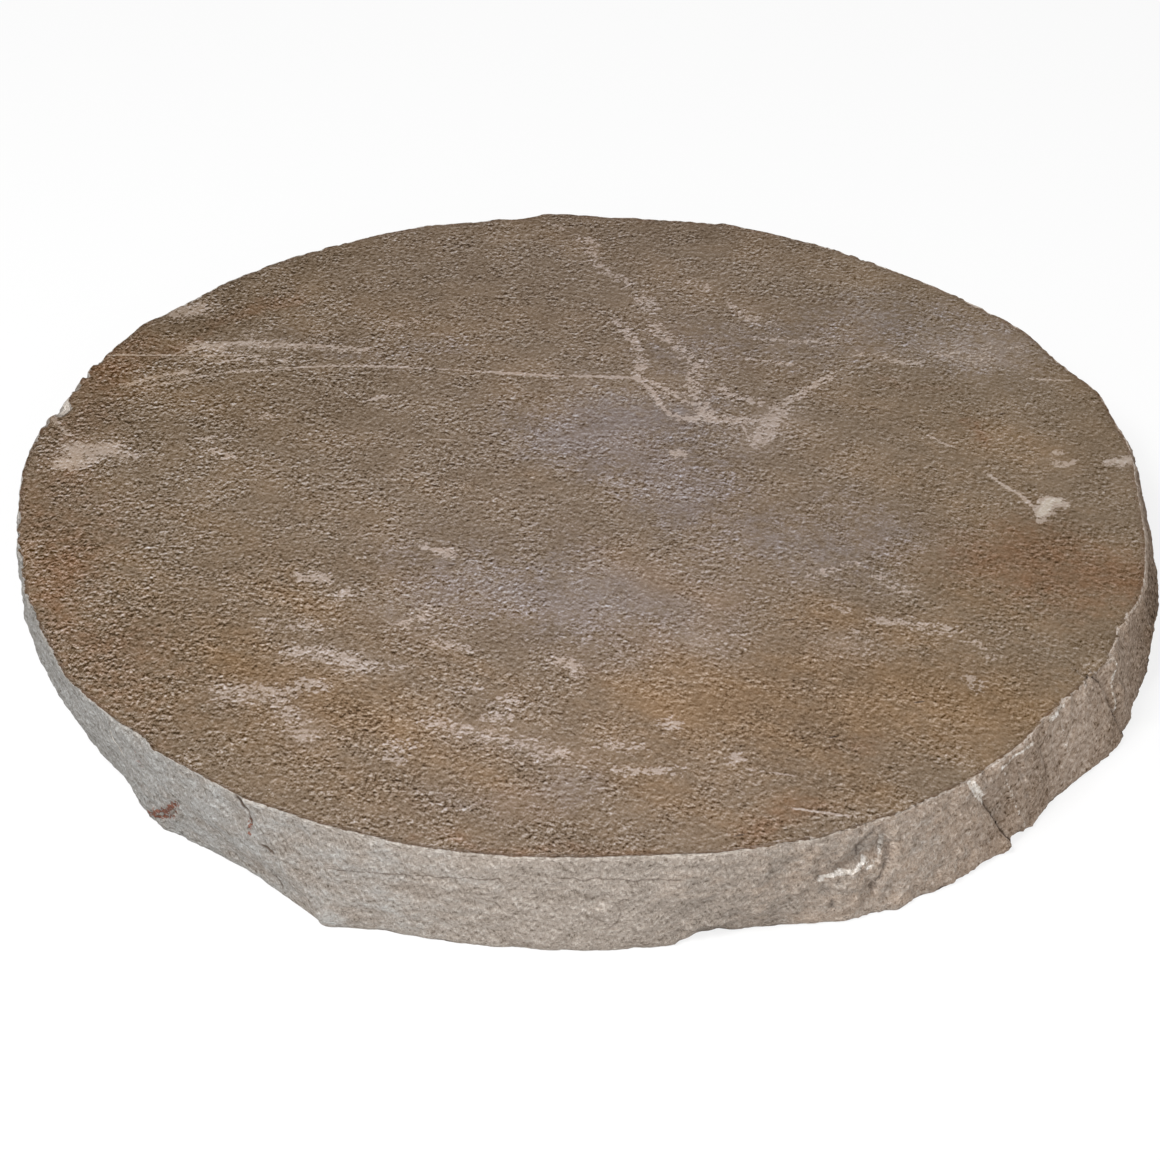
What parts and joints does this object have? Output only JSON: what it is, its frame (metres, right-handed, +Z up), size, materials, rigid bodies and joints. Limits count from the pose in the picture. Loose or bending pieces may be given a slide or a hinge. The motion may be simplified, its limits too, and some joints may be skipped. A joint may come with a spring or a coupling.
{
  "type": "garden stepping stone",
  "caption": "Round natural sandstone stepping stone: a flat split slab with a chisel-dressed rim, laid on the ground to walk on.",
  "frame": {"origin": "on the bed, the flat underside that lies on the ground, at the centre of the stone's nominal circle", "axes": "+Z up, along the stone's axis, from the bed to the tread; +X to the right and +Y to the back of the picture's view"},
  "size_m": [0.4034, 0.4018, 0.038],
  "materials": {
    "sandstone": "rough split face, weathered brown on the tread, paler grey-beige on the freshly broken rim"
  },
  "bodies": {
    "root": {"stepping_stone": "sandstone"}
  },
  "joints": []
}
